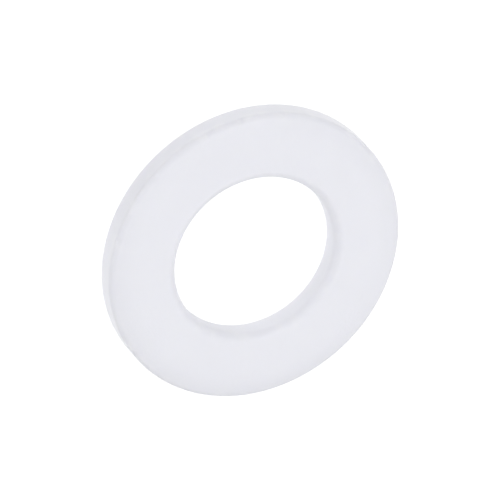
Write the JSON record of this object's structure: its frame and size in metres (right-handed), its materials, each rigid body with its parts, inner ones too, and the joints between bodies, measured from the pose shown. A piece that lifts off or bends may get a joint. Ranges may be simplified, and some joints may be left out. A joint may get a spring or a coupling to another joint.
{
  "type": "flat washer",
  "caption": "Flat round washer in milky plastic, with a plain bore, flat faces and a softly rolled outer margin.",
  "frame": {"origin": "centre of the bore on the bottom face, which the washer lies on", "axes": "+Z along the bore axis, from the bottom face to the face with the rolled margin; X and Y are alike"},
  "size_m": [0.01, 0.01, 0.0009],
  "materials": {
    "milky_plastic": "satin, translucent milky white"
  },
  "bodies": {
    "root": {"washer": "milky_plastic"}
  },
  "joints": []
}
